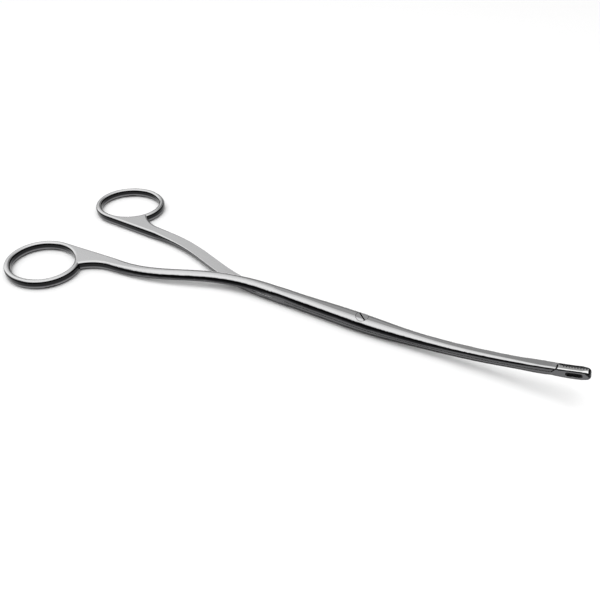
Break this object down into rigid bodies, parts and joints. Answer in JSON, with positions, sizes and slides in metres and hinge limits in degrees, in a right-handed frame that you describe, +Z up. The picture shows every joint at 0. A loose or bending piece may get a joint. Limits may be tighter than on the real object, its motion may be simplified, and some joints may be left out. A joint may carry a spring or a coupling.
{
  "type": "kidney stone forceps",
  "caption": "Kidney stone forceps with oval finger rings, lapped steel halves that turn on a flush slotted screw, a slim upcurved shaft and small toothed jaws with oval windows.",
  "frame": {"origin": "on the table plane, straight under the screw that the halves turn on", "axes": "+X from the finger rings along the shaft to the jaws, +Y towards the fixed half's ring, +Z up, out of the flat of the instrument"},
  "size_m": [0.2187, 0.0818, 0.0142],
  "materials": {
    "polished_steel": "polished",
    "screw_steel": "polished, ground flush"
  },
  "bodies": {
    "fixed_half": {"lower_half": "polished_steel", "pivot_screw": "screw_steel"},
    "moving_half": {"upper_half": "polished_steel"}
  },
  "joints": [
    {"name": "screw_hinge", "type": "hinge", "parent": "fixed_half", "child": "moving_half", "pos_m": [0, 0, 0.003], "axis": [0, 0, 1], "range_deg": [0, 22]}
  ]
}
